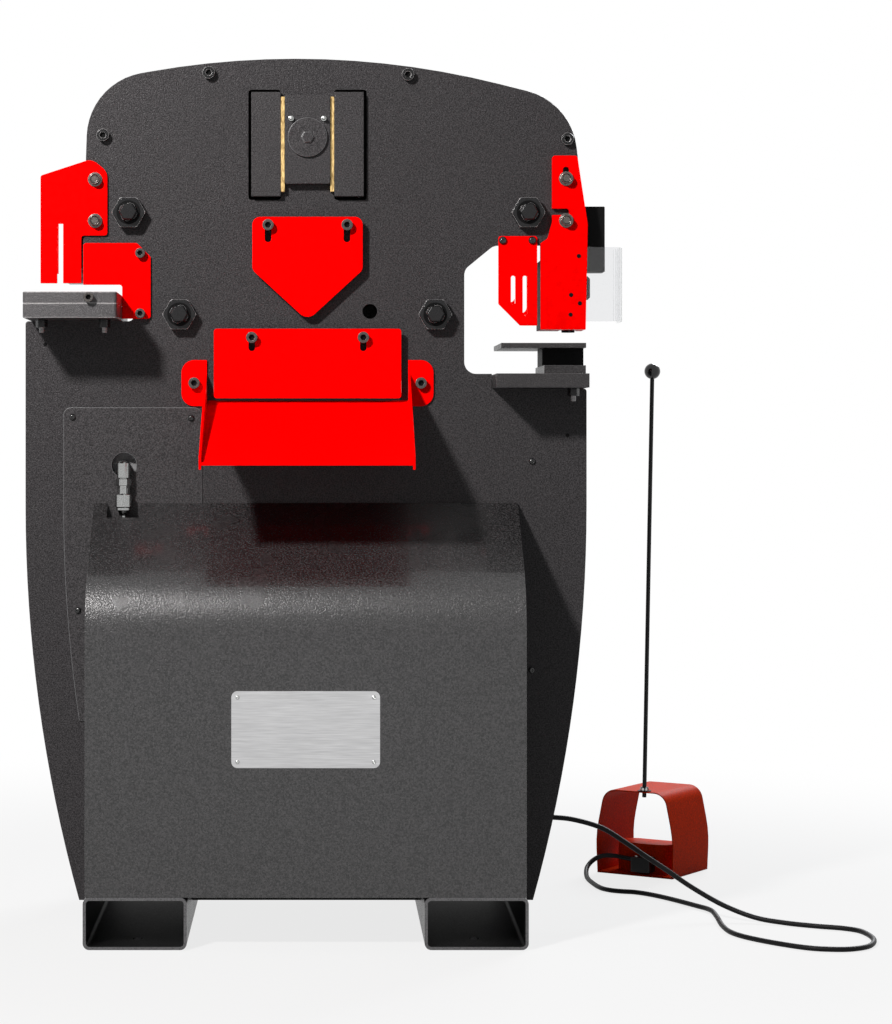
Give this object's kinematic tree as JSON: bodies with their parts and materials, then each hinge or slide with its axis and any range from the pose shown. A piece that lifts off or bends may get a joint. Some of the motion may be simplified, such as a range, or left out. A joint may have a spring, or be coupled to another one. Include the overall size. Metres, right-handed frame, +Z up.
{
  "type": "ironworker machine",
  "caption": "Hydraulic ironworker on fork tubes: a beam sliding between side plates punches, shears and notches steel, worked by a foot pedal on a cord.",
  "frame": {"origin": "on the floor, in the middle of the four anchor holes in the fork tubes", "axes": "X to the right seen from the front, Y from the front to the back, Z up"},
  "size_m": [1.7022, 1.1682, 1.7704],
  "materials": {
    "charcoal_paint": "hammered semi-gloss charcoal paint",
    "black_steel": "black-oxide steel",
    "table_steel": "dark machined steel",
    "tool_steel": "ground tool steel",
    "brass": "worn brass",
    "red_paint": "gloss red paint",
    "clear_sheet": "clear plastic sheet",
    "power_paint": "grey paint",
    "zinc": "zinc plate",
    "pedal_red": "satin dull red paint",
    "black_plastic": "black plastic",
    "cord_rubber": "black rubber"
  },
  "bodies": {
    "frame": {"fork_tube_left": "charcoal_paint", "fork_tube_right": "charcoal_paint", "front_plate": "charcoal_paint", "rear_plate": "charcoal_paint", "top_cover": "charcoal_paint", "gib_blocks": "charcoal_paint", "front_cover": "charcoal_paint", "rear_cover": "charcoal_paint", "access_panel": "charcoal_paint", "spacer_tubes": "black_steel", "tie_studs": "black_steel", "tie_nuts": "black_steel", "plate_screws": "black_steel", "guard_screws": "black_steel", "hex_bolts": "black_steel", "die_holder": "black_steel", "cylinder_pin": "black_steel", "notch_table_base": "table_steel", "notch_die": "table_steel", "punch_table_base": "table_steel", "table_plate": "table_steel", "flat_blade_lower": "tool_steel", "angle_blade_lower": "tool_steel", "punch_die": "tool_steel", "treadle_pin": "tool_steel", "gib_strips": "brass", "notch_guard": "red_paint", "notch_side_guard": "red_paint", "punch_guard": "red_paint", "rear_guards": "red_paint", "chute": "red_paint", "cylinder_barrel": "power_paint", "reservoir": "power_paint", "motor": "power_paint", "pump": "power_paint", "valve_block": "power_paint", "port_block": "power_paint", "port_fitting": "zinc", "pedal_base": "pedal_red", "pedal_hood": "pedal_red", "pedal_housing": "pedal_red", "cord_gland": "black_plastic", "strain_relief": "black_plastic", "pedal_rod": "black_plastic", "rod_ball": "black_plastic", "pedal_cord": "cord_rubber"},
    "beam": {"beam": "black_steel", "main_pin": "tool_steel", "slide_blocks": "charcoal_paint", "pin_caps": "charcoal_paint", "flat_blade_upper": "tool_steel", "angle_blade_upper": "tool_steel", "punch_holder": "black_steel", "notch_punch": "tool_steel", "piston_rod": "tool_steel"},
    "shield_guard": {"shield_guard": "red_paint"},
    "flat_guard": {"flat_guard": "red_paint"},
    "stripper": {"stripper_bracket": "red_paint", "clear_guard": "clear_sheet"},
    "treadle": {"treadle": "black_plastic"}
  },
  "joints": [
    {"name": "beam_stroke", "type": "slide", "parent": "frame", "child": "beam", "axis": [0, 0, -1], "range_m": [0, 0.032]},
    {"name": "shield_guard_lift", "type": "slide", "parent": "frame", "child": "shield_guard", "axis": [0, 0, 1], "range_m": [0, 0.028]},
    {"name": "flat_guard_lift", "type": "slide", "parent": "frame", "child": "flat_guard", "axis": [0, 0, 1], "range_m": [0, 0.021]},
    {"name": "stripper_drop", "type": "slide", "parent": "frame", "child": "stripper", "axis": [0, 0, -1], "range_m": [0, 0.018]},
    {"name": "treadle_press", "type": "hinge", "parent": "frame", "child": "treadle", "pos_m": [0.8125, 0.5853, 0.054], "axis": [-0.8329, 0.5534, 0], "range_deg": [0, 8], "stiffness_Nm_per_rad": 1.5, "springref_deg": -20.05}
  ]
}
